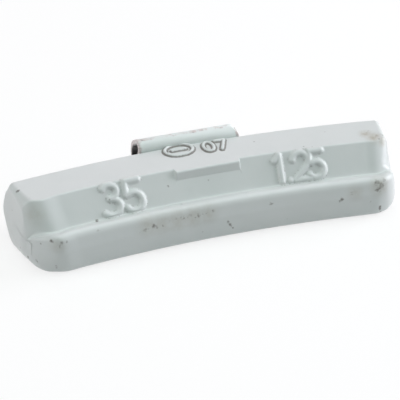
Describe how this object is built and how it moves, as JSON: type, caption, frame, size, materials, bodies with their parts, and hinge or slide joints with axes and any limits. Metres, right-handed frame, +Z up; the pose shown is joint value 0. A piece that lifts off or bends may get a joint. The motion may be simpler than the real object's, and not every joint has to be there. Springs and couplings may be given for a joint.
{
  "type": "wheel balance weight",
  "caption": "Curved zinc casting with a recessed marked face, a ledge and end blocks, and a bent spring steel clip cast into its back that grips a rim flange.",
  "frame": {"origin": "on the flat underside at mid length, straight below the casting's upper front edge", "axes": "+X along the rim, +Y away from the wheel's axle, towards the clip, +Z up through the flat outboard face"},
  "size_m": [0.054, 0.0182, 0.01],
  "materials": {
    "coated_zinc": "satin",
    "coated_spring_steel": "satin"
  },
  "bodies": {
    "root": {"weight_body": "coated_zinc", "spring_clip": "coated_spring_steel"}
  },
  "joints": []
}
